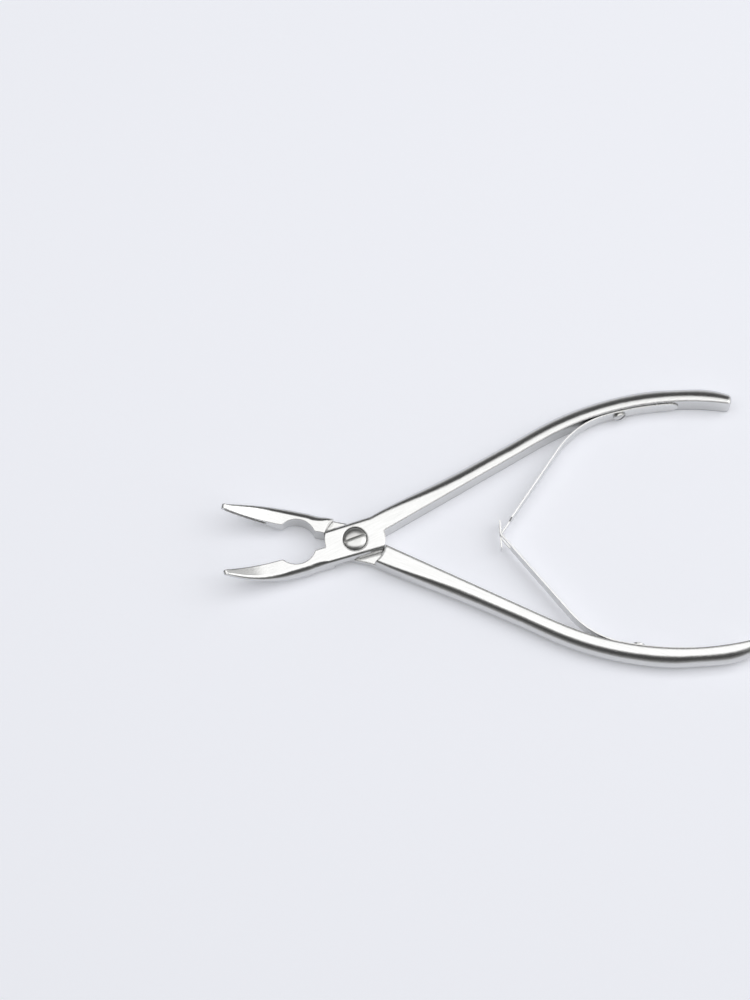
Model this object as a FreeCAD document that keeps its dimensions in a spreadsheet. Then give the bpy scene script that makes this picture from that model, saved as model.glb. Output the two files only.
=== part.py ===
import FreeCAD, Part
import math
import os
import Sketcher
from FreeCAD import Placement, Rotation, Vector

# Bone rongeur: two forged halves crossed at a screwed lap joint, pushed apart by a pair of leaf springs.
# The origin is on the joint's axis in the plane that the instrument lies on. +X runs to the handle ends,
# -X to the jaw tips, +Z up. It is modelled open, as it lies at rest.
#
# Each half is drawn in its own closed pose: its jaw below the X axis with the biting rim on that axis, its
# handle above it. half_b is drawn turned over about X, so that its lap plate lies below. Both jaws curve up.

SIZES = [
    ("body_height", 7.5, "height of each half from the underside to the top face"),
    ("half_opening", 14.0, "degrees that each half stands open at rest"),
    ("bite_gap", 0.06, "gap left between the two rims when closed"),
    ("lap_gap", 0.06, "gap between the two lap plates"),
    ("plate_end_radius", 10.2, "rounded end of each lap plate, about the screw"),
    ("shoulder_gap", 0.25, "clearance of a lap plate's end to the shoulders of the other half"),
    ("plate_half_width", 5.9, "joint centre to the side of the lap plate"),
    ("plate_edge_round", 1.4, "rounding along both sides of the lap plate"),
    ("handle_foot", 1.5, "length of the plate's side that runs in the handle's direction"),
    ("tip_reach", 45.5, "joint centre to the jaw tip"),
    ("jaw_width", 6.4, "rim to the outer side of the jaw, at its widest"),
    ("jaw_swell", 8.0, "length over which the jaw swells from the plate's width"),
    ("jaw_round", 0.42, "rounding of the jaw's outer edges, at most, as a share of its width"),
    ("jaw_round_height", 0.48, "the same rounding, at most, as a share of the jaw's height"),
    ("jaw_narrow_start", 22.0, "joint centre to where the jaw starts to narrow"),
    ("tip_width", 1.4, "rim to the outer side at the jaw tip"),
    ("jaw_curve_start", 25.0, "joint centre to where the top of the jaw starts to curve up"),
    ("jaw_curve_radius", 33.0, "radius of that curve, seen from the side"),
    ("jaw_thin_start", 17.0, "joint centre to where the jaw starts to thin"),
    ("jaw_thin_end", 37.0, "joint centre to where it has reached the height of the tip"),
    ("tip_height", 2.5, "height of the jaw near its tip"),
    ("cup_start", 31.0, "joint centre to the centre of the cup's near end"),
    ("cup_tip_wall", 1.7, "jaw tip back to the centre of the cup's far end"),
    ("cup_radius", 0.82, "radius of the cup's section and of its round ends"),
    ("cup_depth", 0.78, "depth of the cup below the rim"),
    ("arch_near", 13.8, "joint centre to the near end of the arch behind the cup"),
    ("arch_far", 25.0, "joint centre to the far end of that arch"),
    ("arch_depth", 3.1, "depth of the arch"),
    ("arch_corner", 1.0, "rounding between the rim and the arch"),
    ("handle_angle", 14.4, "degrees between the rim line and the straight part of the handle"),
    ("handle_straight", 62.0, "length of the straight part of the handle"),
    ("handle_curve_radius", 97.0, "radius of the handle's inner face along the palm curve"),
    ("handle_curve_length", 67.2, "length of the palm curve"),
    ("handle_root_width", 7.0, "handle width at the joint"),
    ("handle_mid_width", 5.5, "handle width along the palm curve"),
    ("handle_end_width", 3.7, "handle width at its end"),
    ("handle_flare", 50.0, "length over which the handle narrows from the joint"),
    ("handle_end_taper", 9.5, "length over which its outer side rounds in to the end"),
    ("handle_round", 0.68, "rounding of the handle's outer edges, at most, as a share of its width"),
    ("handle_round_height", 0.465, "the same rounding, at most, as a share of the handle's height"),
    ("handle_round_growth", 26.0, "length over which that rounding grows from the plate's edge"),
    ("handle_rise", 0.5, "how much higher the top of the handle is in the palm than at the joint"),
    ("handle_end_round", 1.2, "rounding of the handle's end"),
    ("screw_head_diameter", 7.9, "pivot screw head"),
    ("screw_head_height", 1.3, "straight side of the pivot screw head"),
    ("screw_dome", 0.8, "height of the dome on the pivot screw head"),
    ("screw_shank_diameter", 5.0, "plain shank that half_a turns on"),
    ("screw_thread_diameter", 4.0, "threaded end in half_b"),
    ("screw_slot_width", 0.9, "slot in the pivot screw head"),
    ("screw_slot_depth", 0.9, "slot depth below the top of the dome"),
    ("screw_slot_angle", 19.0, "degrees of the slot from +X as it lies at rest"),
    ("recess_depth", 1.2, "depth of the head's recess in half_a"),
    ("recess_clearance", 0.16, "radial gap round the head"),
    ("head_clearance", 0.04, "gap under the head"),
    ("running_clearance", 0.05, "radial gap between the shank and half_a"),
    ("thread_clearance", 0.02, "radial gap between a screw and its threaded hole"),
    ("leaf_thickness", 0.5, "thickness of the leaf springs"),
    ("leaf_width", 6.0, "width of the leaf springs along the foot and the bend, along Z"),
    ("leaf_tip_width", 4.0, "width that the blade narrows to where the springs cross"),
    ("leaf_seat_gap", 0.1, "gap between a spring's foot and the handle"),
    ("junction_reach", 48.8, "joint centre to the place where the springs cross"),
    ("leaf_bend_radius", 30.0, "bend between a spring's foot and its blade"),
    ("leaf_tip_radius", 1.6, "bend at the end of the blade"),
    ("leaf_tip_length", 4.9, "length of the bent end past the crossing"),
    ("neck_width", 1.8, "width of the tongue's neck"),
    ("tongue_head_width", 3.6, "width of the T head on the tongue"),
    ("tongue_head_length", 1.3, "length of the T head"),
    ("window_clearance", 0.35, "gap between the tongue's neck and each side of the fork's window"),
    ("window_end_wall", 1.2, "wall at the end of the fork's window"),
    ("window_reach", 4.4, "how far the neck and the window run up the blade from the crossing"),
    ("neck_shoulder", 1.5, "length of the slope from the neck to the full blade"),
    ("spring_screw_place", 29.0, "spring screw, measured along the handle from the start of its curve"),
    ("foot_lead", 5.0, "length of the foot from its screw to the bend"),
    ("foot_tail", 16.0, "length of the foot from its screw to its end"),
    ("spring_head_diameter", 4.2, "spring screw head"),
    ("spring_head_height", 0.8, "straight side of the spring screw head"),
    ("spring_head_dome", 0.7, "dome on the spring screw head"),
    ("spring_slot_width", 0.7, "slot in the spring screw head"),
    ("spring_slot_depth", 0.7, "slot depth below the top of the dome"),
    ("spring_slot_angle", 35.0, "degrees of the slot from the foot's length"),
    ("spring_shank_diameter", 2.4, "spring screw shank"),
    ("spring_shank_length", 3.4, "spring screw shank below its head"),
    ("spring_hole_clearance", 0.1, "radial gap between the shank and the hole in the foot"),
    ("hole_spare_depth", 0.4, "depth of the blind hole past the shank"),
    ("lug_height", 1.1, "length of the lug at the end of the foot, from the foot's face"),
    ("lug_width", 3.0, "width of the lug, along Z"),
    ("lug_clearance", 0.12, "gap between the lug and its slot on each side"),
    ("cut_overrun", 1.0, "how far a cutting shape starts outside the face it cuts"),
]

os.makedirs("parts", exist_ok=True)
doc = FreeCAD.newDocument("bone_rongeur")
sheet = doc.addObject("Spreadsheet::Sheet", "dimensions")
for row, (alias, value, meaning) in enumerate(SIZES, 1):
    sheet.set(f"A{row}", alias)
    sheet.set(f"B{row}", str(value))
    sheet.setAlias(f"B{row}", alias)
    sheet.set(f"C{row}", meaning)
doc.recompute()


def size(alias):
    """The value of a named cell."""
    return float(sheet.get(alias))


def bind(feature, **sizes):
    """Tie the feature's properties to formulas on the sheet's names."""
    for prop, formula in sizes.items():
        feature.setExpression(prop, formula)


height = size("body_height")
middle = height / 2
rim = -size("bite_gap") / 2
plate_end = size("plate_end_radius")
plate_half = size("plate_half_width")
overrun = size("cut_overrun")


# Plane geometry used by the outlines

def turned(point, degrees):
    """A plan point turned about the joint's axis."""
    a = math.radians(degrees)
    x, y = point
    return (x * math.cos(a) - y * math.sin(a), x * math.sin(a) + y * math.cos(a))


def around(centre, radius, degrees):
    """The point of a circle at an angle from +X."""
    a = math.radians(degrees)
    return (centre[0] + radius * math.cos(a), centre[1] + radius * math.sin(a))


def line(start, end):
    return Part.LineSegment(Vector(*start, 0), Vector(*end, 0))


def arc(start, mid, end):
    return Part.Arc(Vector(*start, 0), Vector(*mid, 0), Vector(*end, 0))


def arc_about(centre, radius, start, end):
    """An arc about a centre between two angles, run from the first to the second."""
    return arc(around(centre, radius, start), around(centre, radius, (start + end) / 2),
               around(centre, radius, end))


def smooth(t):
    """Rises from 0 to 1 with level ends."""
    t = min(max(t, 0.0), 1.0)
    return t * t * (3 - 2 * t)


# Sketches and features

def new_sketch(body, name, role, curves):
    """A sketch on one of the body's origin planes, with the ends of its curves joined."""
    sketch = body.newObject("Sketcher::SketchObject", name)
    plane = next(f for f in body.Origin.OriginFeatures if f.Role == role)
    sketch.AttachmentSupport = [(plane, "")]
    sketch.MapMode = "FlatFace"
    sketch.addGeometry(curves, False)
    ends = [(i, pos) for i in range(len(curves)) for pos in (1, 2)]
    for n, (i, pos) in enumerate(ends):
        for j, other in ends[n + 1:]:
            if i != j and sketch.getPoint(i, pos).distanceToPoint(sketch.getPoint(j, other)) < 1e-5:
                sketch.addConstraint(Sketcher.Constraint("Coincident", i, pos, j, other))
    return sketch


def new_circle(body, name, radius_formula):
    """A sketch in the XY plane of one circle about the origin, its radius tied to the sheet."""
    sketch = new_sketch(body, name, "XY_Plane", [Part.Circle(Vector(0, 0, 0), Vector(0, 0, 1), 1.0)])
    sketch.addConstraint(Sketcher.Constraint("Coincident", 0, 3, -1, 1))
    index = sketch.addConstraint(Sketcher.Constraint("Radius", 0, 1.0))
    sketch.renameConstraint(index, "radius")
    sketch.setExpression("Constraints.radius", radius_formula)
    return sketch


def feature(body, kind, name, profile=None, **sizes):
    """A feature of the body on a profile, with its sizes tied to the sheet."""
    made = body.newObject("PartDesign::" + kind, name)
    if profile is not None:
        made.Profile = profile
    bind(made, **sizes)
    return made


def cut(body, kind, name, profile=None, through=False, **sizes):
    """A cutting feature, which has to take material away."""
    before = body.Tip.Shape.Volume
    made = feature(body, kind, name, profile, **sizes)
    if through:
        made.SideType = "Symmetric"
        made.Type = "ThroughAll"
    return made, before


def finish_cut(made, before):
    doc.recompute()
    if not made.Shape.Volume < before - 1e-3:
        raise RuntimeError(made.Name + " cuts nothing")


def drilled(body, kind, name, place, **sizes):
    """A cylinder or box cut out of the body at a place that isn't on an origin plane."""
    before = body.Tip.Shape.Volume
    made = body.newObject("PartDesign::" + kind, name)
    bind(made, **sizes)
    made.Placement = place
    finish_cut(made, before)
    return made


def level(over, z):
    """A level above the table, as it lies in the drawing of a half that may be drawn turned over."""
    return height - z if over else z


def d_section(body, name, inner, width, levels, corner, place, side):
    """One section of a jaw or handle: flat on the inner side, its two outer corners rounded.

    It is drawn from the inner face outwards, to +Y for side 1 and to -Y for side -1."""
    low, high = sorted(levels)
    diagonal = corner * math.sqrt(0.5)
    outer = side * width
    turn_in = side * (width - corner)
    bulge = side * (width - corner + diagonal)
    curves = [
        line((inner, low), (inner, high)),
        line((inner, high), (turn_in, high)),
        arc((turn_in, high), (bulge, high - corner + diagonal), (outer, high - corner)),
        line((outer, high - corner), (outer, low + corner)),
        arc((outer, low + corner), (bulge, low + corner - diagonal), (turn_in, low)),
        line((turn_in, low), (inner, low)),
    ]
    sketch = new_sketch(body, name, "YZ_Plane", curves)
    sketch.AttachmentOffset = place
    return sketch


# The handle's inner face: a straight run from the crotch of the joint, then the palm curve

handle_angle = size("handle_angle")
straight = size("handle_straight")
curve_radius = size("handle_curve_radius")
handle_length = straight + size("handle_curve_length")
crotch = (plate_end, 0.0)
curve_start = (crotch[0] + straight * math.cos(math.radians(handle_angle)),
               crotch[1] + straight * math.sin(math.radians(handle_angle)))
curve_centre = around(curve_start, curve_radius, handle_angle - 90)


def handle_heading(s):
    """The direction of the inner face, in degrees, at a distance along it."""
    return handle_angle - math.degrees(max(s - straight, 0.0) / curve_radius)


def handle_point(s):
    """The inner face's plan point at a distance along it."""
    if s <= straight:
        return around(crotch, s, handle_angle)
    return around(curve_centre, curve_radius, handle_heading(s) + 90)


def handle_width(s):
    flare = size("handle_root_width") - size("handle_mid_width")
    rounded_in = size("handle_mid_width") - size("handle_end_width")
    near = flare * (1 - smooth(s / size("handle_flare")))
    taper = size("handle_end_taper")
    far = rounded_in * (max(s - handle_length + taper, 0.0) / taper) ** 2
    return size("handle_mid_width") + near - far


def handle_corner(s):
    """The rounding grows from the plate's edge to its full share of the width or the height."""
    grown = smooth(s / size("handle_round_growth"))
    full = min(size("handle_round") * handle_width(s), size("handle_round_height") * handle_top(s))
    return size("plate_edge_round") + grown * (full - size("plate_edge_round"))


def handle_top(s):
    """The top of the handle rises a little from the end of its flare to the palm."""
    start = size("handle_flare")
    return height + size("handle_rise") * smooth((s - start) / (handle_length - start))


# The jaw: it swells from the joint, narrows and thins to the tip, and curves up off the table

tip_reach = size("tip_reach")
jaw_root = plate_end + 2 * size("shoulder_gap")


def jaw_width(x):
    swell = (size("jaw_width") - plate_half) * (1 - smooth((x - jaw_root) / size("jaw_swell")))
    past = max(x - size("jaw_narrow_start"), 0.0) / (tip_reach - size("jaw_narrow_start"))
    return size("jaw_width") - swell - (size("jaw_width") - size("tip_width")) * past ** 2


def jaw_height(x):
    start = size("jaw_thin_start")
    thinned = smooth((x - start) / (size("jaw_thin_end") - start))
    return height - (height - size("tip_height")) * thinned


def jaw_top(x):
    """The top follows an arc, seen from the side, that starts level."""
    past = max(x - size("jaw_curve_start"), 0.0)
    radius = size("jaw_curve_radius")
    return height + radius - math.sqrt(radius ** 2 - past ** 2)


def jaw_middle(x):
    return jaw_top(x) - jaw_height(x) / 2


def jaw_corner(x):
    """The smaller of the two shares, with a smooth change from one to the other."""
    grown = smooth((x - jaw_root) / (size("arch_near") - jaw_root))
    by_width = size("jaw_round") * jaw_width(x)
    by_height = size("jaw_round_height") * jaw_height(x)
    full = (by_width ** -4 + by_height ** -4) ** -0.25
    return size("plate_edge_round") + grown * (full - size("plate_edge_round"))


def same_line(edge, side):
    """Whether a level edge, seen from above, runs between the two points of a side."""
    points = [(v.X, v.Y) for v in edge.Vertexes]
    if len(points) != 2 or abs(edge.Vertexes[0].Z - edge.Vertexes[1].Z) > 1e-6:
        return False
    return any(math.dist(points[0], a) + math.dist(points[1], b) < 1e-4 for a, b in (side, side[::-1]))


def forge_plate(body):
    """The lap plate, at full height: rounded ends about the screw, and the roots of jaw and handle."""
    root = -jaw_root
    foot = around(crotch, size("handle_root_width"), handle_angle + 90)
    foot_start = around(foot, size("handle_foot"), handle_angle + 180)
    corner_in = (math.sqrt(plate_end ** 2 - plate_half ** 2), -plate_half)
    corner_out = (-corner_in[0], plate_half)
    rim_end = (-math.sqrt(plate_end ** 2 - rim ** 2), rim)
    angle_in = math.degrees(math.atan2(corner_in[1], corner_in[0]))
    angle_out = math.degrees(math.atan2(corner_out[1], corner_out[0]))
    curves = [
        line(foot, crotch),
        arc_about((0, 0), plate_end, 0, angle_in),
        line(corner_in, (root, -plate_half)),
        line((root, -plate_half), (root, rim)),
        line((root, rim), rim_end),
        arc_about((0, 0), plate_end, math.degrees(math.atan2(rim, rim_end[0])) % 360, angle_out),
        line(corner_out, foot_start),
        line(foot_start, foot),
    ]
    sketch = new_sketch(body, body.Name + "_plate_outline", "XY_Plane", curves)
    plate = feature(body, "Pad", body.Name + "_plate", sketch, Length="dimensions.body_height")
    doc.recompute()
    sides = [(corner_in, (root, -plate_half)), (corner_out, foot_start), (foot_start, foot)]
    edges = [f"Edge{number}" for number, edge in enumerate(plate.Shape.Edges, 1)
             if any(same_line(edge, side) for side in sides)]
    rounding = feature(body, "Fillet", body.Name + "_plate_edges", Radius="dimensions.plate_edge_round")
    rounding.Base = (plate, edges)
    doc.recompute()


def loft_jaw(body, over, part, stations):
    """A stretch of the jaw through its sections at distances from the joint centre."""
    sections = []
    for i, x in enumerate(stations):
        place = Placement(Vector(0, 0, -x), Rotation())
        levels = (level(over, jaw_top(x) - jaw_height(x)), level(over, jaw_top(x)))
        sections.append(d_section(body, f"{body.Name}_{part}_{i}", rim, jaw_width(x), levels,
                                  jaw_corner(x), place, -1))
    loft = feature(body, "AdditiveLoft", f"{body.Name}_{part}", sections[0])
    loft.Sections = sections[1:]
    doc.recompute()


def spread(start, end, steps):
    """Evenly spread stations from start to end, both included."""
    return [start + (end - start) * i / steps for i in range(steps + 1)]


def forge_jaw(body, over):
    """The jaw from the joint to the tip, in three stretches: level, thinning, and curving up."""
    thin = size("jaw_thin_start")
    curve = size("jaw_curve_start")
    loft_jaw(body, over, "jaw", spread(jaw_root, thin, 2))
    loft_jaw(body, over, "throat", spread(thin, curve, 3))
    loft_jaw(body, over, "tip", spread(curve, tip_reach, 7))


def handle_section(body, over, name, s, width, corner, inset=0.0):
    """The handle's section at a distance along its inner face, drawn in on all sides by the inset."""
    x, y = handle_point(s)
    place = Placement(Vector(y, 0, x), Rotation(Vector(0, 1, 0), handle_heading(s)))
    levels = (level(over, inset), level(over, handle_top(s) - inset))
    return d_section(body, name, inset, width - inset, levels, corner - inset, place, 1)


def loft_handle(body, over, part, stations):
    """A stretch of the handle through its sections at distances along its inner face."""
    sections = []
    for i, s in enumerate(stations):
        name = f"{body.Name}_{part}_{i}"
        sections.append(handle_section(body, over, name, s, handle_width(s), handle_corner(s)))
    loft = feature(body, "AdditiveLoft", f"{body.Name}_{part}", sections[0])
    loft.Sections = sections[1:]
    doc.recompute()


def forge_handle(body, over):
    """The handle in two stretches: narrowing from the joint, and along the palm curve."""
    flare = size("handle_flare")
    taper = handle_length - size("handle_end_taper")
    end = handle_length - size("handle_end_round")
    loft_handle(body, over, "shank", spread(0.0, flare, 4))
    loft_handle(body, over, "palm", [flare] + spread(straight, taper, 4) + spread(taper, end, 3)[1:])


def round_handle_end(body, over):
    """Closes the handle's end with a quarter-round edge all about."""
    edge = size("handle_end_round")
    sections = []
    for i, angle in enumerate(range(0, 91, 15)):
        s = handle_length - edge * (1 - math.sin(math.radians(angle)))
        inset = edge * (1 - math.cos(math.radians(angle)))
        name = f"{body.Name}_end_{i}"
        sections.append(handle_section(body, over, name, s, handle_width(s), handle_corner(s), inset))
    loft = feature(body, "AdditiveLoft", body.Name + "_end", sections[0])
    loft.Sections = sections[1:]
    doc.recompute()


def cut_lap(body):
    """Takes away the lower half of the joint, down to the shoulders about the screw."""
    sketch = new_circle(body, body.Name + "_lap_circle", "dimensions.plate_end_radius + dimensions.shoulder_gap")
    bind(sketch, **{"AttachmentOffset.Base.z": "-dimensions.cut_overrun"})
    made, before = cut(body, "Pocket", body.Name + "_lap", sketch,
                       Length="(dimensions.body_height + dimensions.lap_gap) / 2 + dimensions.cut_overrun")
    made.Reversed = True
    finish_cut(made, before)


def cut_arch(body):
    """The arch between cup and joint, with a rounded corner where it meets the rim."""
    near = -size("arch_near")
    far = -size("arch_far")
    depth = size("arch_depth")
    half = (near - far) / 2
    radius = (half ** 2 + depth ** 2) / (2 * depth)
    centre = ((near + far) / 2, radius - depth)
    corner = size("arch_corner")
    reach = math.sqrt((radius + corner) ** 2 - (centre[1] + corner - rim) ** 2)
    corner_centre = (centre[0] - reach, rim - corner)
    toward = math.degrees(math.atan2(centre[1] - corner_centre[1], reach))
    near_angle = math.degrees(math.atan2(rim - centre[1], math.sqrt(radius ** 2 - (centre[1] - rim) ** 2)))
    near_point = around(centre, radius, near_angle)
    clear = overrun
    curves = [
        arc_about(corner_centre, corner, 90, toward),
        arc_about(centre, radius, toward + 180, near_angle + 360),
        line(near_point, (near_point[0], clear)),
        line((near_point[0], clear), (corner_centre[0], clear)),
        line((corner_centre[0], clear), (corner_centre[0], rim)),
    ]
    sketch = new_sketch(body, body.Name + "_arch_outline", "XY_Plane", curves)
    finish_cut(*cut(body, "Pocket", body.Name + "_arch", sketch, through=True))


def cut_nose(body, over):
    """Rounds the jaw tip to a half circle, seen from the side, in line with the jaw's upward curve."""
    slope = math.asin((tip_reach - size("jaw_curve_start")) / size("jaw_curve_radius"))
    radius = size("tip_height") / 2 * math.cos(slope)
    centre_x = tip_reach - radius
    centre = (-centre_x, jaw_middle(centre_x))
    forward = (-math.cos(slope), math.sin(slope))
    across = (math.sin(slope), math.cos(slope))

    def at(along, up):
        x = centre[0] + along * forward[0] + up * across[0]
        z = centre[1] + along * forward[1] + up * across[1]
        return (x, level(over, z))

    past = 3 * radius
    curves = [
        arc(at(0, -radius), at(radius, 0), at(0, radius)),
        line(at(0, radius), at(0, past)),
        line(at(0, past), at(past, past)),
        line(at(past, past), at(past, -past)),
        line(at(past, -past), at(0, -past)),
        line(at(0, -past), at(0, -radius)),
    ]
    sketch = new_sketch(body, body.Name + "_nose_outline", "XZ_Plane", curves)
    finish_cut(*cut(body, "Pocket", body.Name + "_nose", sketch, through=True))


def cut_cup(body, over):
    """The biting cup: a round hollow in the rim that follows the jaw's curve, with round ends."""
    start = size("cup_start")
    end = tip_reach - size("cup_tip_wall")
    y = rim + size("cup_radius") - size("cup_depth")
    points = [Vector(-x, y, level(over, jaw_middle(x))) for x in (start, (start + end) / 2, end)]
    line_of_cup = Part.Arc(*points).toShape().Curve
    inward = points[0] - line_of_cup.Center
    outward = points[2] - line_of_cup.Center
    turn = Rotation(inward, Vector(), inward.cross(outward), "ZXY")
    hollow, before = cut(body, "SubtractiveTorus", body.Name + "_cup", Radius2="dimensions.cup_radius")
    hollow.Radius1 = line_of_cup.Radius
    hollow.Angle3 = math.degrees(inward.getAngle(outward))
    hollow.Placement = Placement(line_of_cup.Center, turn)
    finish_cut(hollow, before)
    for part, point in (("near", points[0]), ("far", points[2])):
        drilled(body, "SubtractiveSphere", f"{body.Name}_cup_{part}", Placement(point, Rotation()),
                Radius="dimensions.cup_radius")


def bore_joint(body, for_thread):
    """half_a takes the screw's head and shank, half_b its thread."""
    if for_thread:
        sketch = new_circle(body, body.Name + "_tapping_circle",
                            "dimensions.screw_thread_diameter / 2 + dimensions.thread_clearance")
        finish_cut(*cut(body, "Pocket", body.Name + "_tapped_hole", sketch, through=True))
        return
    sketch = new_circle(body, body.Name + "_shank_circle",
                        "dimensions.screw_shank_diameter / 2 + dimensions.running_clearance")
    finish_cut(*cut(body, "Pocket", body.Name + "_shank_hole", sketch, through=True))
    sketch = new_circle(body, body.Name + "_recess_circle",
                        "dimensions.screw_head_diameter / 2 + dimensions.recess_clearance")
    bind(sketch, **{"AttachmentOffset.Base.z": "dimensions.body_height"})
    finish_cut(*cut(body, "Pocket", body.Name + "_recess", sketch, Length="dimensions.recess_depth"))


def inner_face_place(s, depth, z):
    """A place on the handle's inner face, its local Z axis pointing into the handle."""
    x, y = handle_point(s)
    outward = Vector(*around((0, 0), 1, handle_heading(s) + 90), 0)
    along = Vector(*around((0, 0), 1, handle_heading(s)), 0)
    rotation = Rotation(along, Vector(0, 0, -1), outward, "ZXY")
    return Placement(Vector(x, y, z) + outward * depth, rotation)


screw_s = straight + size("spring_screw_place")
lug_s = screw_s + size("foot_tail")


def bore_spring_seat(body):
    """The blind hole for the spring screw, and the slot for the lug of the spring's foot."""
    drilled(body, "SubtractiveCylinder", body.Name + "_spring_hole", inner_face_place(screw_s, -overrun, middle),
            Radius="dimensions.spring_shank_diameter / 2 + dimensions.thread_clearance",
            Height="dimensions.spring_shank_length - dimensions.leaf_thickness - dimensions.leaf_seat_gap"
                   " + dimensions.hole_spare_depth + dimensions.cut_overrun")
    place = inner_face_place(lug_s, -overrun, middle)
    clearance = size("lug_clearance")
    corner = Vector(-size("leaf_thickness") - clearance, -size("lug_width") / 2 - clearance, 0)
    place.Base = place.multVec(corner)
    drilled(body, "SubtractiveBox", body.Name + "_lug_slot", place,
            Length="dimensions.leaf_thickness + 2 * dimensions.lug_clearance",
            Width="dimensions.lug_width + 2 * dimensions.lug_clearance",
            Height="dimensions.lug_height - dimensions.leaf_seat_gap + dimensions.lug_clearance"
                   " + dimensions.cut_overrun")


def half(name, over, place):
    """One forging with its joint and spring seats. The one drawn turned over takes the screw's thread."""
    body = doc.addObject("PartDesign::Body", name)
    forge_plate(body)
    forge_jaw(body, over)
    forge_handle(body, over)
    round_handle_end(body, over)
    cut_lap(body)
    cut_arch(body)
    cut_nose(body, over)
    cut_cup(body, over)
    bore_joint(body, over)
    bore_spring_seat(body)
    body.Placement = place
    return body


opening = size("half_opening")
turned_over = Placement(Vector(0, 0, height), Rotation(Vector(1, 0, 0), 180))
open_up = Placement(Vector(), Rotation(Vector(0, 0, 1), opening))
open_down = Placement(Vector(), Rotation(Vector(0, 0, 1), -opening)).multiply(turned_over)

half_a = half("half_a", False, open_up)
half_b = half("half_b", True, open_down)


# Screws: turned pieces with a domed, slotted head

def slotted_screw(name, kind, levels, top, slot_angle, place):
    """A turned screw on the Z axis: a stepped shaft given from below, closed by a dome with a slot.

    Its sizes on the sheet start with the word given as kind."""
    body = doc.addObject("PartDesign::Body", name)
    points = [(0, levels[0][1])] + levels
    radius, shoulder = levels[-1]
    dome = top - shoulder
    sphere = (radius ** 2 + dome ** 2) / (2 * dome)
    half_way = sphere * math.sin(0.5 * math.asin(radius / sphere))
    rise = top - sphere + math.sqrt(sphere ** 2 - half_way ** 2)
    profile = [line(points[i], points[i + 1]) for i in range(len(points) - 1)]
    profile.append(arc((radius, shoulder), (half_way, rise), (0, top)))
    profile.append(line((0, top), points[0]))
    sketch = new_sketch(body, name + "_profile", "XZ_Plane", profile)
    shaft = feature(body, "Revolution", name + "_turned", sketch)
    shaft.ReferenceAxis = (sketch, ["V_Axis"])
    shaft.Angle = 360
    doc.recompute()
    across = radius + overrun
    side = size(kind + "_slot_width") / 2
    corners = [(-across, -side), (across, -side), (across, side), (-across, side)]
    sketch = new_sketch(body, name + "_slot_outline", "XY_Plane",
                        [line(corners[i], corners[(i + 1) % 4]) for i in range(4)])
    sketch.AttachmentOffset = Placement(Vector(0, 0, top), Rotation(Vector(0, 0, 1), slot_angle))
    finish_cut(*cut(body, "Pocket", name + "_slot", sketch, Length=f"dimensions.{kind}_slot_depth"))
    body.Placement = place
    return body


thread = size("screw_thread_diameter") / 2
shank = size("screw_shank_diameter") / 2
head = size("screw_head_diameter") / 2
seat = middle - size("lap_gap") / 2
under_head = height - size("recess_depth") + size("head_clearance")
head_side = under_head + size("screw_head_height")
pivot_levels = [(thread, 0), (thread, seat), (shank, seat), (shank, under_head), (head, under_head),
                (head, head_side)]
slotted_screw("pivot_screw", "screw", pivot_levels, head_side + size("screw_dome"),
              size("screw_slot_angle"), Placement())


def spring_screw(name, half_place):
    """A spring screw in its handle, its head on the inner face of the spring's foot."""
    shank_radius = size("spring_shank_diameter") / 2
    head_radius = size("spring_head_diameter") / 2
    under = size("spring_shank_length")
    side = under + size("spring_head_height")
    levels = [(shank_radius, 0), (shank_radius, under), (head_radius, under), (head_radius, side)]
    stand = size("leaf_thickness") + size("leaf_seat_gap") + size("head_clearance")
    inward = Placement(Vector(), Rotation(Vector(1, 0, 0), 180))
    place = half_place.multiply(inner_face_place(screw_s, under - stand, middle)).multiply(inward)
    return slotted_screw(name, "spring", levels, side + size("spring_head_dome"),
                         size("spring_slot_angle"), place)


spring_screw("spring_screw_a", open_up)
spring_screw("spring_screw_b", open_down)


# Leaf springs: strips bent on edge, drawn as they lie in the open instrument. A strip is followed
# from its bent tip, through the crossing, up the straight blade, round the bend and along the foot.

leaf = size("leaf_thickness")
leaf_half_width = size("leaf_width") / 2
foot_radius = curve_radius - size("leaf_seat_gap") - leaf / 2
open_centre = turned(curve_centre, opening)
foot_root = handle_heading(screw_s - size("foot_lead")) + opening
foot_end = handle_heading(lug_s) + opening
bend_radius = size("leaf_bend_radius")
bend_centre = around(open_centre, foot_radius - bend_radius, foot_root + 90)
tip_radius = size("leaf_tip_radius")
crossing = (size("junction_reach"), 0.0)
tip_end = -size("leaf_tip_length")
before_tip = crossing[0] - 3 * tip_radius
after_tip = crossing[0] + 3 * tip_radius


def tip_centre(heading):
    """Centre of the bent tip, whose arc passes through the crossing half way round."""
    return around(crossing, tip_radius, (heading + 90) / 2 - 90)


def blade_heading():
    """Heading of the straight blade, the line that touches both the tip's arc and the bend's arc.

    The bend's arc lies to the left of too flat a line and to the right of too steep a one."""
    flat, steep = foot_root, 85.0
    for _ in range(50):
        trial = (flat + steep) / 2
        start = tip_centre(trial)
        a = math.radians(trial)
        left = (bend_centre[1] - start[1]) * math.cos(a) - (bend_centre[0] - start[0]) * math.sin(a)
        if left + bend_radius > tip_radius:
            flat = trial
        else:
            steep = trial
    return (flat + steep) / 2


blade = blade_heading()
tip_middle = tip_centre(blade)
neck_far = crossing[0] + size("window_reach") / math.tan(math.radians(blade))


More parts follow.
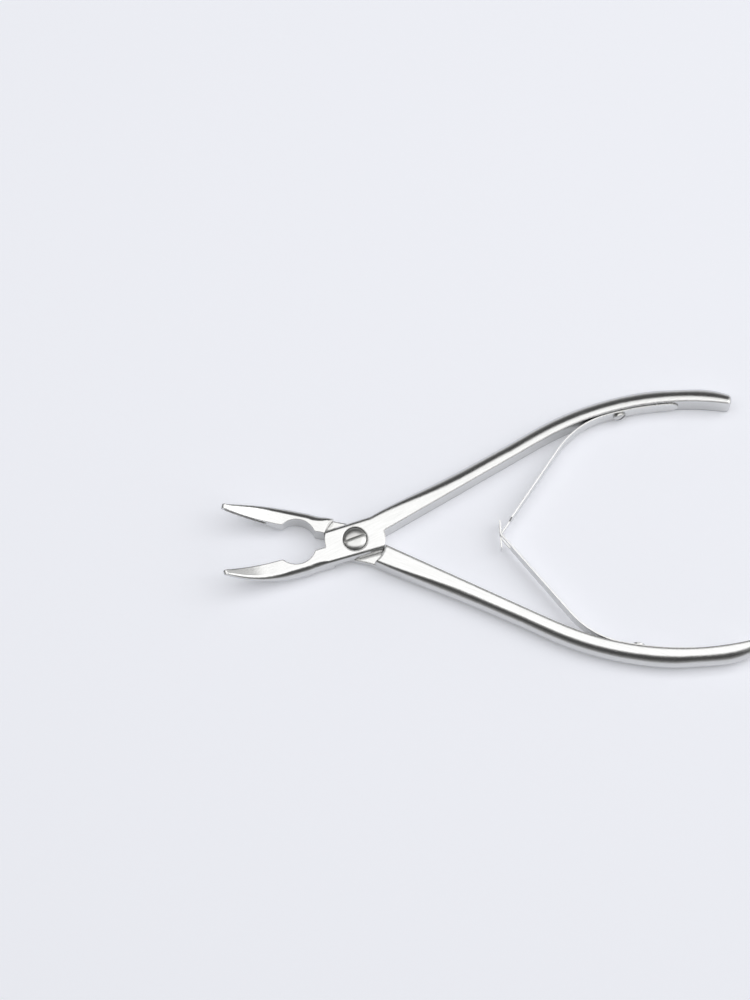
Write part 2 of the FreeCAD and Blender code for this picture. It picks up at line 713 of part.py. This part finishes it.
def strip_side(offset):
    """One face of the strip, from the tip to the foot's end, at an offset from its middle."""
    arcs = [(tip_middle, tip_radius + offset, 180, blade + 90),
            (bend_centre, bend_radius + offset, blade + 90, foot_root + 90),
            (open_centre, foot_radius + offset, foot_root + 90, foot_end + 90)]
    start = (tip_middle[0] - tip_radius - offset, tip_end)
    curves = [line(start, around(tip_middle, tip_radius + offset, 180)),
              arc_about(*arcs[0]),
              line(around(*arcs[0][:2], blade + 90), around(*arcs[1][:2], blade + 90)),
              arc_about(*arcs[1]),
              arc_about(*arcs[2])]
    return start, curves, around(*arcs[2][:2], foot_end + 90)


def side_sketch(body, name, outlines, y):
    """A sketch of four-sided outlines in X and Z, facing -Y at the given Y."""
    curves = []
    for corners in outlines:
        curves += [line(corners[i], corners[(i + 1) % 4]) for i in range(4)]
    sketch = new_sketch(body, name, "XZ_Plane", curves)
    sketch.AttachmentOffset = Placement(Vector(0, 0, -y), Rotation())
    return sketch


def outside_bands(x_from, half_from, x_to, half_to, slope=0.0):
    """The two outlines above and below a strip whose half width changes from one value to another."""
    top = leaf_half_width + overrun
    bands = []
    for side in (1, -1):
        bands.append([(x_from, middle + side * half_from), (x_to, middle + side * half_to),
                      (x_to + slope, middle + side * top), (x_from, middle + side * top)])
    return bands


def leaf_strip(name):
    """The bent strip with its tapered blade, the screw's hole and the lug at the end of its foot."""
    body = doc.addObject("PartDesign::Body", name)
    outer_start, outer, outer_end = strip_side(leaf / 2)
    inner_start, inner, inner_end = strip_side(-leaf / 2)
    curves = outer + inner + [line(outer_start, inner_start), line(outer_end, inner_end)]
    sketch = new_sketch(body, name + "_outline", "XY_Plane", curves)
    bind(sketch, **{"AttachmentOffset.Base.z": "dimensions.body_height / 2"})
    strip = feature(body, "Pad", name + "_strip", sketch, Length="dimensions.leaf_width")
    strip.SideType = "Symmetric"
    doc.recompute()
    blade_end = around(bend_centre, bend_radius, blade + 90)[0]
    bands = outside_bands(before_tip, size("leaf_tip_width") / 2, blade_end, leaf_half_width)
    sketch = side_sketch(body, name + "_taper_outline", bands, 0)
    finish_cut(*cut(body, "Pocket", name + "_taper", sketch, through=True))
    drilled(body, "SubtractiveCylinder", name + "_hole",
            open_up.multiply(inner_face_place(screw_s, -leaf - overrun, middle)),
            Radius="dimensions.spring_shank_diameter / 2 + dimensions.spring_hole_clearance",
            Height="dimensions.leaf_thickness + 2 * dimensions.cut_overrun")
    lug = body.newObject("PartDesign::AdditiveBox", name + "_lug")
    bind(lug, Length="dimensions.leaf_thickness", Width="dimensions.lug_width",
         Height="dimensions.lug_height + dimensions.leaf_thickness / 2")
    place = open_up.multiply(inner_face_place(lug_s, -size("leaf_seat_gap") - leaf / 2, middle))
    place.Base = place.multVec(Vector(-leaf, -size("lug_width") / 2, 0))
    lug.Placement = place
    doc.recompute()
    return body


def cut_upward(body, name, outlines, y):
    """Cuts the outlines, given in X and Z, through all that lies to +Y of the given Y."""
    made, before = cut(body, "Pocket", name, side_sketch(body, name + "_outline", outlines, y))
    made.Type = "ThroughAll"
    finish_cut(made, before)


def tongue_spring():
    """Its end is a narrow neck with a T head."""
    body = leaf_strip("tongue_spring")
    head_from = tip_end + size("tongue_head_length")
    neck = size("neck_width") / 2
    cut_upward(body, "neck", outside_bands(before_tip, neck, neck_far, neck, size("neck_shoulder")), head_from)
    wide = size("tongue_head_width") / 2
    sketch = side_sketch(body, "head_outline", outside_bands(before_tip, wide, after_tip, wide), head_from)
    made, before = cut(body, "Pocket", "head_sides", sketch,
                       Length="dimensions.tongue_head_length + dimensions.cut_overrun")
    made.Reversed = True
    finish_cut(made, before)


def fork_spring():
    """Its end holds a window that the tongue's neck passes through."""
    body = leaf_strip("fork_spring")
    half_window = size("neck_width") / 2 + size("window_clearance")
    window = [(before_tip, middle - half_window), (neck_far, middle - half_window),
              (neck_far, middle + half_window), (before_tip, middle + half_window)]
    cut_upward(body, "window", [window], tip_end + size("window_end_wall"))
    body.Placement = turned_over


tongue_spring()
fork_spring()


# Checks and export

doc.recompute()
for thing in doc.Objects:
    if "Invalid" in thing.State or "Error" in thing.State:
        raise RuntimeError(f"{thing.Name} is {thing.State}")
bodies = [thing for thing in doc.Objects if thing.TypeId == "PartDesign::Body"]
for body in bodies:
    shape = body.Shape
    if shape.isNull() or not shape.isValid() or len(shape.Solids) != 1:
        raise RuntimeError(body.Label + " isn't one valid solid")
for body in bodies:
    body.Shape.exportStep(f"parts/{body.Label}.step")
    print(body.Label, round(body.Shape.Volume, 1), "mm3")
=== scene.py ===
import math

import bpy
import numpy as np
from mathutils import Matrix, Vector


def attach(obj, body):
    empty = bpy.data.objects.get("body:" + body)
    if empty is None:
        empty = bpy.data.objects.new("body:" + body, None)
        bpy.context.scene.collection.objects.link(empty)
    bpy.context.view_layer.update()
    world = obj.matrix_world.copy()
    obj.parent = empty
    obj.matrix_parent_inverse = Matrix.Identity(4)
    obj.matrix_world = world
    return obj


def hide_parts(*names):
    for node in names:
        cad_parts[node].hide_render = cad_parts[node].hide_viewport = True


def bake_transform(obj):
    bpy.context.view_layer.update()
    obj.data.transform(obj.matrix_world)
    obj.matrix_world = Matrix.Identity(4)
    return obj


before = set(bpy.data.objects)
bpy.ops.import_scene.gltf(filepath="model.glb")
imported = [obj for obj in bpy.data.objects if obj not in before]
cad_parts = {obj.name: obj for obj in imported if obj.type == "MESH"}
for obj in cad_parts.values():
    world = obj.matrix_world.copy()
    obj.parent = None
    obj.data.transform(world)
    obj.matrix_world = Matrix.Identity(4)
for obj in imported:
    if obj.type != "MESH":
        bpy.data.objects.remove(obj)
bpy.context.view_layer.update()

# A bone rongeur: two forged steel halves crossed at a screwed lap joint, pushed apart by two leaf
# springs that hook into each other. It lies open on a pale table, its jaws to -X.
scene = bpy.context.scene
scene.view_settings.view_transform = "Standard"


# Forged halves. Each is one piece of stainless steel with its jaw, lap plate and handle. It is drop
# forged, ground and satin polished along its length, so fine streaks follow the handles.

streak_slimness = 22        # a streak is this many times longer than wide
cloud_scale = 160.0         # cloudy patches for each metre, so they are about 6 mm across
worn_below = 0.3            # streak noise up to which the steel has its worn colour
bright_above = 0.62         # streak noise from which it has its bright colour
streak_rough = 0.10         # how far the streaks change the roughness
cloud_rough = 0.08          # how far the clouds add to it
shade_reach = 0.0012       # how far from a crease, a slot or the table the colour is darkened as painted shade
shade_keep = 0.25          # share of its colour that the steel keeps where the painted shade is deepest
fully_shaded_below = 0.15        # openness up to which the painted shade is at its deepest
unshaded_from = 0.75          # openness from which there is no painted shade
ray_samples = 6             # rays that feel for edges and creases
jaw_root_x = -0.012         # where the jaws' edge wear ends
handle_root_x = 0.010       # where the handles' edge wear begins


def node_tools(tree):
    """A function that adds nodes to a tree, and one that links two sockets.

    Each value sets the node's setting of that name, or the input of that name or place. A socket given
    as a value is linked to the input."""

    def fill(socket, value):
        if isinstance(value, bpy.types.NodeSocket):
            tree.links.new(value, socket)
        else:
            socket.default_value = value

    def add(kind, *inputs, **values):
        node = tree.nodes.new(kind)
        for key, value in values.items():
            if hasattr(node, key):
                setattr(node, key, value)
            else:
                fill(node.inputs[key.replace("_", " ")], value)
        for socket, value in zip(node.inputs, inputs):
            fill(socket, value)
        return node

    return add, tree.links.new


def new_material(name):
    """An empty node material, its Principled shader and the functions that add and link its nodes."""
    material = bpy.data.materials.new(name)
    material.use_nodes = True
    return material, material.node_tree.nodes["Principled BSDF"], *node_tools(material.node_tree)


def polished_steel(name, bright, worn, rough, streak, grain_depth, wave_depth, edge, heading=0.0,
                   jaw_edge=None, run=None):
    """Polished steel: noise stretched along the polishing direction carries it from worn to bright.

    heading is that direction in degrees from +X, and streak the length of a streak in metres. The
    roughness is rough, half of streak_rough up or down with the streaks, plus cloud_rough times the
    clouds. The surface rises by grain_depth with the streaks and by wave_depth with the clouds. edge is
    the radius that the last polish leaves on an edge, or jaw_edge on the jaws, with a smooth step in X
    between the two. run names the attribute that a bent strip holds its flat coordinates in. Ambient
    occlusion darkens the colour in creases, slots and near the table: painted shade."""
    material, shader, add, link = new_material(name)
    shader.inputs["Metallic"].default_value = 1.0
    if run:
        place = add("ShaderNodeAttribute", attribute_name=run).outputs["Vector"]
    else:
        place = add("ShaderNodeTexCoord").outputs["Object"]
    streak_width = streak / streak_slimness
    along = add("ShaderNodeMapping", vector_type="TEXTURE", Vector=place,
                Rotation=(0, 0, math.radians(heading)), Scale=(streak, streak_width, streak_width))
    streaks = add("ShaderNodeTexNoise", Vector=along.outputs["Vector"],
                  Scale=3.0, Detail=5.0, Roughness=0.6).outputs["Fac"]
    clouds = add("ShaderNodeTexNoise", Vector=place,
                 Scale=cloud_scale, Detail=3.0, Roughness=0.55).outputs["Fac"]

    tone = add("ShaderNodeValToRGB", streaks)
    worn_end, bright_end = tone.color_ramp.elements
    worn_end.position = worn_below
    worn_end.color = (*worn, 1)
    bright_end.position = bright_above
    bright_end.color = (*bright, 1)
    # Painted shade: ambient occlusion darkens the base colour in creases, slots and where the steel nears
    # the table.
    openness = add("ShaderNodeAmbientOcclusion", samples=ray_samples, Distance=shade_reach)
    shade_level = add("ShaderNodeMapRange", openness.outputs["AO"], From_Min=fully_shaded_below, From_Max=unshaded_from,
                To_Min=shade_keep, To_Max=1.0)
    shaded_tone = add("ShaderNodeVectorMath", tone.outputs["Color"], operation="SCALE",
                  Scale=shade_level.outputs["Result"])
    link(shaded_tone.outputs["Vector"], shader.inputs["Base Color"])

    streaky = add("ShaderNodeMath", streaks, streak_rough, rough - streak_rough / 2,
                  operation="MULTIPLY_ADD")
    cloudy = add("ShaderNodeMath", clouds, cloud_rough, streaky.outputs["Value"],
                 operation="MULTIPLY_ADD")
    link(cloudy.outputs["Value"], shader.inputs["Roughness"])

    radius = edge
    if jaw_edge:
        reach = add("ShaderNodeSeparateXYZ", place)
        wear = add("ShaderNodeMapRange", reach.outputs["X"], interpolation_type="SMOOTHSTEP",
                   From_Min=jaw_root_x, From_Max=handle_root_x, To_Min=jaw_edge, To_Max=edge)
        radius = wear.outputs["Result"]
    rounded = add("ShaderNodeBevel", samples=ray_samples, Radius=radius)
    wave = add("ShaderNodeBump", Strength=1.0, Distance=wave_depth, Height=clouds,
               Normal=rounded.outputs["Normal"])
    grain = add("ShaderNodeBump", Strength=1.0, Distance=grain_depth, Height=streaks,
                Normal=wave.outputs["Normal"])
    link(grain.outputs["Normal"], shader.inputs["Normal"])
    return material


def dress(name, material):
    """Puts a material in every slot of a CAD node."""
    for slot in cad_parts[name].material_slots:
        slot.material = material


for half, side in (("half_a", 1), ("half_b", -1)):
    dress(half, polished_steel(
        "forged_steel" + half[-2:], bright=(0.695, 0.695, 0.69), worn=(0.625, 0.625, 0.618), rough=0.15,
        streak=0.02, grain_depth=2.0e-6, wave_depth=5.0e-6, edge=0.0012, heading=24.0 * side,
        jaw_edge=0.0005))


# Spring screws. A small slotted screw holds the foot of each spring on the inner face of its handle.
# They are turned from stainless steel bar and darker than the halves.

turned_finish = {"streak": 0.006, "grain_depth": 1.0e-6, "wave_depth": 2.0e-6, "edge": 0.00012,
                 "heading": 60.0}
turned = polished_steel("turned_steel", bright=(0.64, 0.64, 0.63), worn=(0.54, 0.54, 0.525), rough=0.16,
                        **turned_finish)
for spring_screw in ("spring_screw_a", "spring_screw_b"):
    dress(spring_screw, turned)


# Pivot screw. A slotted shoulder screw whose wide head lies in a recess of the upper lap plate. It is
# turned from stainless steel bar, with a low dome of a softer satin finish and a sawn slot.

head_radius = 0.00395
head_under = 0.00634        # height of the head's flat underside
head_side = 0.0011          # height of the head's straight side
dome_height = 0.0008
head_edge = 0.00025         # rounding between side and dome
slot_half = 0.00045         # half the slot's width
slot_depth = 0.0009
slot_round = 0.0004         # how much the slot's floor rises towards its walls
slot_turn = math.radians(19.0)
shank_radius = 0.0025
shank_bottom = 0.00378
thread_radius = 0.002
chords = 28                 # lines on each side of the slot
floor_chords = 7            # lines on the slot's floor
chord_points = 61
ring_points = 64
hair = 1e-6                 # a distance too small to matter


def dome_level(radius):
    """Height of the head's top: a dome that falls as the fourth power of the radius, its edge rounded."""
    cap = dome_height * (1 - (radius / head_radius) ** 4)
    over = np.clip(radius - head_radius + head_edge, 0, head_edge)
    return head_under + head_side + cap - head_edge + np.sqrt(head_edge ** 2 - over ** 2)


def grid_quads(rows, cols):
    """Quads between neighbouring rows and columns of grid points, as a rows by columns by 4 array."""
    first = np.arange(rows - 1)[:, None] * cols + np.arange(cols - 1)
    return np.stack([first, first + 1, first + cols + 1, first + cols], -1)


def slotted_head():
    """The head as a grid of chords along the slot, closer together towards the rim.

    A chord's points stand at the sines of even angles times its half length. Their height is the dome's,
    or on the slot's floor a level that rises as the square of the distance from the middle. The first
    and last point of each chord is repeated at the underside, which makes the straight side."""
    outer_angles = np.linspace(np.arcsin(slot_half / head_radius), math.pi / 2, chords)
    outer = head_radius * np.sin(outer_angles)
    inner = slot_half * np.linspace(-1, 1, floor_chords)
    across = np.concatenate([-outer[::-1], inner, outer])
    on_floor = np.zeros(len(across), bool)
    on_floor[chords:chords + floor_chords] = True
    floor = head_under + head_side + dome_height - slot_depth + slot_round * (across / slot_half) ** 2
    share = np.sin(np.linspace(-math.pi / 2, math.pi / 2, chord_points))
    half_chord = np.sqrt(np.clip(head_radius ** 2 - across ** 2, 0, None))
    u = share[:, None] * half_chord[None, :]
    v = np.repeat(across[None, :], chord_points, 0)
    z = np.where(on_floor[None, :], floor, dome_level(np.minimum(np.hypot(u, v), head_radius)))
    u = np.vstack([u[:1], u, u[-1:]])
    v = np.vstack([v[:1], v, v[-1:]])
    under = np.full_like(z[:1], head_under)
    z = np.vstack([under, z, under])
    x = u * math.cos(slot_turn) - v * math.sin(slot_turn)
    y = u * math.sin(slot_turn) + v * math.cos(slot_turn)
    return np.stack([x.ravel(), y.ravel(), z.ravel()], 1), grid_quads(*x.shape).reshape(-1, 4)


def turned_shank():
    """Underside, shank and thread: a profile of radii and heights, each carried round the screw's axis."""
    profile = np.array([
        (head_radius, head_under), (shank_radius, head_under), (shank_radius, shank_bottom),
        (thread_radius, shank_bottom), (thread_radius, 0.0), (0.0, 0.0)])
    angles = np.linspace(0, 2 * math.pi, ring_points, endpoint=False)
    x = profile[:, :1] * np.cos(angles)
    y = profile[:, :1] * np.sin(angles)
    z = np.repeat(profile[:, 1:], ring_points, 1)
    ring = np.arange(len(profile) - 1)[:, None] * ring_points
    this = ring + np.arange(ring_points)
    after = ring + (np.arange(ring_points) + 1) % ring_points
    quads = np.stack([this, this + ring_points, after + ring_points, after], -1)
    return np.stack([x.ravel(), y.ravel(), z.ravel()], 1), quads.reshape(-1, 4)


def new_piece(name, vertices, faces, material):
    """A smooth shaded piece from arrays of its points and faces, with its place in its mesh."""
    mesh = bpy.data.meshes.new(name)
    mesh.from_pydata(vertices.tolist(), [], faces.tolist())
    mesh.polygons.foreach_set("use_smooth", [True] * len(mesh.polygons))
    mesh.materials.append(material)
    piece = bpy.data.objects.new(name, mesh)
    scene.collection.objects.link(piece)
    return piece


def round_edges(piece, name, width, segments, sharper_than):
    """A Bevel on every edge that is sharper than the given angle in degrees."""
    bevel = piece.modifiers.new(name, "BEVEL")
    bevel.width = width
    bevel.segments = segments
    bevel.limit_method = "ANGLE"
    bevel.angle_limit = math.radians(sharper_than)
    bevel.harden_normals = True


satin = polished_steel("satin_turned_steel", bright=(0.66, 0.66, 0.65), worn=(0.54, 0.54, 0.525),
                       rough=0.27, **turned_finish)
head_points, head_faces = slotted_head()
shank_points, shank_faces = turned_shank()
screw = new_piece("pivot_screw_turned", np.vstack([head_points, shank_points]),
                  np.vstack([head_faces, shank_faces + len(head_points)]), satin)
weld = screw.modifiers.new("one_skin", "WELD")
weld.merge_threshold = hair
round_edges(screw, "slot_edges", width=0.00008, segments=2, sharper_than=45)
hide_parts("pivot_screw")
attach(screw, "body_b")


# Leaf springs. Each is a strip of rolled spring steel, bent on edge, with its foot screwed to a handle.
# The tongue's T head passes through the fork's window, so the two push the handles apart.

leaf_thickness = 0.0005
middle = 0.00375            # height of the strip's middle line
blade = 53.681              # heading of the straight blade, like the next three in degrees from +X
foot_root = 14.224          # heading where the bend meets the foot
screw_heading = 11.270      # heading of the foot at its screw
foot_end = -0.790           # heading at the foot's end
bend_centre = (0.094194, 0.011237)
bend_radius = 0.030
palm_centre = (0.110571, -0.053370)
palm_radius = 0.096650
tip_centre = (0.050320, -0.000499)
tip_radius = 0.0016
tip_end = -0.0049           # Y of the strip's tip
tip_top = 0.006             # Y under which a point near the tip belongs to the tip
tip_x = 0.0440              # X at which the taper ends
blade_x = 0.07002           # X at which the taper begins
foot_half = 0.0030          # half the strip's height at the foot
tip_half = 0.0020           # half its height at the tip
foot_round = 0.0030         # rounding of the foot's end
foot_end_share = 0.04       # square of the share of its height that the strip keeps at its foot's end
neck_far = 0.05203          # X at which the tongue's neck begins to widen
neck_half = 0.0009
neck_slope = 0.0031 / 0.0015
head_half = 0.0018          # half the height of the tongue's T head
head_top = -0.0036          # Y at which the T head meets the neck
window_half = 0.00125
window_bottom = -0.0037     # Y at which the fork's window begins
hole_half = 0.0013          # half the size of the screw's hole in the foot
hole_zone = 0.07            # X from which an opening is the screw's hole
opening_share = 0.6         # an opening's lines keep within this share of the strip's half height
tip_step = 0.0002           # distances between the points of the tip, the blade, the bend and the foot
blade_step = 0.0005
bend_step = 0.0006
foot_step = 0.001
neck_start = 1e-5           # distance from the T head to the first point of the neck


def around(centre, radius, degrees):
    """Plan points on a circle: its centre, plus the radius times the cosine and sine of the angle."""
    angle = np.radians(degrees)
    return np.stack([centre[0] + radius * np.cos(angle), centre[1] + radius * np.sin(angle)], -1)


def arc_points(centre, radius, start, end, step):
    """Plan points at even angles along an arc, a step apart or a little less."""
    count = max(2, math.ceil(abs(math.radians(end - start)) * radius / step) + 1)
    return around(centre, radius, np.linspace(start, end, count))


def straight_points(start, end, step):
    """Plan points at even distances along a straight line, a step apart or a little less."""
    count = max(2, math.ceil(math.dist(start, end) / step) + 1)
    return np.linspace(start, end, count)


def upright_points(x, low, high, count):
    """Plan points at one X and even distances in Y."""
    return np.stack([np.full(count, x), np.linspace(low, high, count)], 1)


def leaf_path():
    """The strip's middle line in plan, and the first and last point of the screw's hole in it.

    It is a run of lines and arcs that touch: the tip through the other strip, its bend, the straight
    blade, the bend at the handle and the foot along the palm, which has the hole in its middle piece."""
    tip_line = tip_centre[0] - tip_radius
    hole_start = screw_heading + 90 + math.degrees(hole_half / palm_radius)
    hole_end = screw_heading + 90 - math.degrees(hole_half / palm_radius)
    runs = [
        upright_points(tip_line, tip_end, head_top, count=4),
        upright_points(tip_line, head_top + neck_start, tip_centre[1], count=9),
        arc_points(tip_centre, tip_radius, 180, blade + 90, tip_step)[1:],
        straight_points(around(tip_centre, tip_radius, blade + 90),
                        around(bend_centre, bend_radius, blade + 90), blade_step)[1:],
        arc_points(bend_centre, bend_radius, blade + 90, foot_root + 90, bend_step)[1:],
        arc_points(palm_centre, palm_radius, foot_root + 90, hole_start, foot_step)[1:],
        arc_points(palm_centre, palm_radius, hole_start, hole_end, foot_step)[1:],
        arc_points(palm_centre, palm_radius, hole_end, foot_end + 90, foot_step)[1:],
    ]
    hole_last = sum(len(points) for points in runs[:7]) - 1
    return np.concatenate(runs), hole_last - len(runs[6]), hole_last


def leaf_spring(name, forked, side):
    """A bent strip: its middle line in plan, carried up and down by half the strip's height.

    The height tapers evenly in X from the foot to the tip and ends round at the foot. The tongue's is cut
    down to a neck that widens evenly in X, and to its T head. Nine lines run along the strip. The faces
    between the third and the seventh are left out at the screw's hole and at the fork's window."""
    points, hole_first, hole_last = leaf_path()
    x, y = points.T
    half = tip_half + (foot_half - tip_half) * np.clip((x - tip_x) / (blade_x - tip_x), 0, 1)
    if not forked:
        neck = neck_half + np.clip(x - neck_far, 0, None) * neck_slope
        half = np.where(y < head_top + hair, head_half, np.minimum(half, neck))
    from_end = np.clip(np.hypot(*(points - points[-1]).T) / foot_round, 0, 1)
    half = half * np.sqrt(np.clip(1 - (1 - from_end) ** 2, foot_end_share, 1))
    inner = np.minimum(np.where(x < hole_zone, window_half, hole_half), opening_share * half)
    levels = np.stack([-half, -(half + inner) / 2, -inner, -inner / 2, 0 * half,
                       inner / 2, inner, (half + inner) / 2, half], 1)
    rows, cols = levels.shape
    vertices = np.stack([np.repeat(x, cols), side * np.repeat(y, cols), middle + levels.ravel()], 1)

    row = np.arange(rows - 1)
    open_rows = (row >= hole_first) & (row < hole_last)
    if forked:
        in_tip = (x < neck_far + hair) & (y < tip_top)
        open_rows |= (y[:-1] > window_bottom) & in_tip[1:]
    column = np.arange(cols - 1)
    open_columns = (column >= 2) & (column <= 5)
    faces = grid_quads(rows, cols)[~(open_rows[:, None] & open_columns)][:, [0, 3, 2, 1]]

    piece = new_piece(name + "_strip", vertices, faces, rolled)
    length = np.concatenate([[0], np.cumsum(np.hypot(*np.diff(points, axis=0).T))])
    flat = np.stack([np.repeat(length, cols), levels.ravel(), 0 * levels.ravel()], 1)
    piece.data.attributes.new("run", "FLOAT_VECTOR", "POINT").data.foreach_set(
        "vector", flat.astype(np.float32).ravel())
    solid = piece.modifiers.new("thickness", "SOLIDIFY")
    solid.thickness = leaf_thickness
    solid.offset = 0.0
    solid.use_even_offset = True
    round_edges(piece, "edges", width=0.0002, segments=4, sharper_than=50)
    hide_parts(name)
    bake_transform(piece)


rolled = polished_steel("rolled_spring_steel", bright=(0.78, 0.78, 0.772), worn=(0.70, 0.70, 0.69),
                        rough=0.24, streak=0.012, grain_depth=1.0e-6, wave_depth=3.0e-6, edge=0.0001,
                        run="run")
leaf_spring("tongue_spring", forked=False, side=1)
leaf_spring("fork_spring", forked=True, side=-1)


# Table. A plain pale board that the instrument lies on. Part of its paleness is its own, so that it
# stays pale round the instrument, as paper does on a light table.

half_table = 3.0
drop = -0.00005             # height of the board, a hair under the instrument
board_glow = 0.19
table_mesh = bpy.data.meshes.new("table")
table_mesh.from_pydata([(-half_table, -half_table, drop), (half_table, -half_table, drop),
                        (half_table, half_table, drop), (-half_table, half_table, drop)],
                       [], [(0, 1, 2, 3)])
table = bpy.data.objects.new("table", table_mesh)
scene.collection.objects.link(table)
board, board_shader, board_add, board_link = new_material("pale_board")
board_shader.inputs["Base Color"].default_value = (0.86, 0.875, 0.94, 1)
board_shader.inputs["Roughness"].default_value = 0.6
board_shader.inputs["Specular IOR Level"].default_value = 0.1
board_shader.inputs["Emission Color"].default_value = (0.976, 0.986, 1.0, 1)
rays = board_add("ShaderNodeLightPath")
seen = board_add("ShaderNodeMath", rays.outputs["Is Camera Ray"], rays.outputs["Is Glossy Ray"],
                 operation="MAXIMUM")
glow = board_add("ShaderNodeMath", seen.outputs["Value"], board_glow, operation="MULTIPLY")
board_link(glow.outputs["Value"], board_shader.inputs["Emission Strength"])
table_mesh.materials.append(board)


# Light. One large softbox hangs overhead in a grey room, which is pale low down and dark overhead. The
# room has a tall window towards +X and an upright band of fainter light towards the front.

window_full = 0.45          # how far to each side the window keeps its whole brightness
window_end = 0.75           # how far to each side it reaches
softbox_place = (0.80, 0.15, 1.2)
softbox_length = 3.6
softbox_width = 1.0
softbox_radiance = 1.45

world = bpy.data.worlds.new("studio")
scene.world = world
world.use_nodes = True
room_add, room_link = node_tools(world.node_tree)


def grey_levels(share, levels):
    """The colour of a ramp that takes neutral grey levels in turn, each at its position along share."""
    ramp = room_add("ShaderNodeValToRGB", share)
    elements = ramp.color_ramp.elements
    elements[0].position = levels[0][0]
    elements[1].position = levels[-1][0]
    for position, level in levels[1:-1]:
        elements.new(position)
    for element, (position, level) in zip(elements, levels):
        element.position = position
        element.color = (level, level, level, 1)
    return ramp.outputs["Color"]


direction = room_add("ShaderNodeSeparateXYZ", room_add("ShaderNodeTexCoord").outputs["Generated"])
room = grey_levels(direction.outputs["Z"], [(0.0, 0.45), (0.25, 0.28), (0.45, 0.09), (1.0, 0.07)])
window = grey_levels(direction.outputs["X"],
                     [(0.0, 0.0), (0.25, 0.05), (0.5, 0.7), (0.75, 0.88), (1.0, 0.95)])
sideways = room_add("ShaderNodeMath", direction.outputs["Y"], operation="ABSOLUTE")
window_width = room_add("ShaderNodeMapRange", sideways.outputs["Value"], interpolation_type="SMOOTHSTEP",
                        From_Min=window_full, From_Max=window_end, To_Min=1.0, To_Max=0.0)
window_light = room_add("ShaderNodeVectorMath", window, operation="SCALE",
                        Scale=window_width.outputs["Result"])
toward_front = room_add("ShaderNodeMath", direction.outputs["Y"], -1.0, operation="MULTIPLY")
spill = grey_levels(toward_front.outputs["Value"],
                    [(0.0, 0.0), (0.24, 0.4), (0.36, 0.3), (0.5, 0.10), (0.62, 0.0)])
for light in (window_light.outputs["Vector"], spill):
    room = room_add("ShaderNodeVectorMath", room, light, operation="MAXIMUM").outputs["Vector"]
background = world.node_tree.nodes["Background"]
background.inputs["Strength"].default_value = 1.0
room_link(room, background.inputs["Color"])

softbox_data = bpy.data.lights.new("softbox", "AREA")
softbox_data.shape = "RECTANGLE"
softbox_data.size = softbox_length
softbox_data.size_y = softbox_width
softbox_data.energy = softbox_radiance * math.pi * softbox_length * softbox_width
softbox = bpy.data.objects.new("softbox", softbox_data)
scene.collection.objects.link(softbox)
softbox.location = softbox_place


# Camera. It looks down at the table from 20 degrees off the vertical, through a long lens, and stands
# turned by almost 3 degrees against the instrument.

picture_turn = math.radians(-2.867)
aim_right = 0.006645
aim_up = 0.013703
aim_height = 0.0075
eye_back = 0.3436
eye_rise = 0.944


def on_table(right, up, z):
    """A point given along the picture's own right and up directions, in metres from the screw."""
    x = right * math.cos(picture_turn) - up * math.sin(picture_turn)
    y = right * math.sin(picture_turn) + up * math.cos(picture_turn)
    return Vector((x, y, z))


aim = on_table(aim_right, aim_up, aim_height)
eye = on_table(aim_right, aim_up - eye_back, aim_height + eye_rise)
camera_data = bpy.data.cameras.new("camera")
camera_data.lens = 108.0
camera_data.sensor_width = 36.0
camera = bpy.data.objects.new("camera", camera_data)
scene.collection.objects.link(camera)
look = (aim - eye).normalized()
right = on_table(1.0, 0.0, 0.0)
up = right.cross(look)
camera.matrix_world = Matrix((
    (right.x, up.x, -look.x, eye.x),
    (right.y, up.y, -look.y, eye.y),
    (right.z, up.z, -look.z, eye.z),
    (0, 0, 0, 1),
))
scene.camera = camera
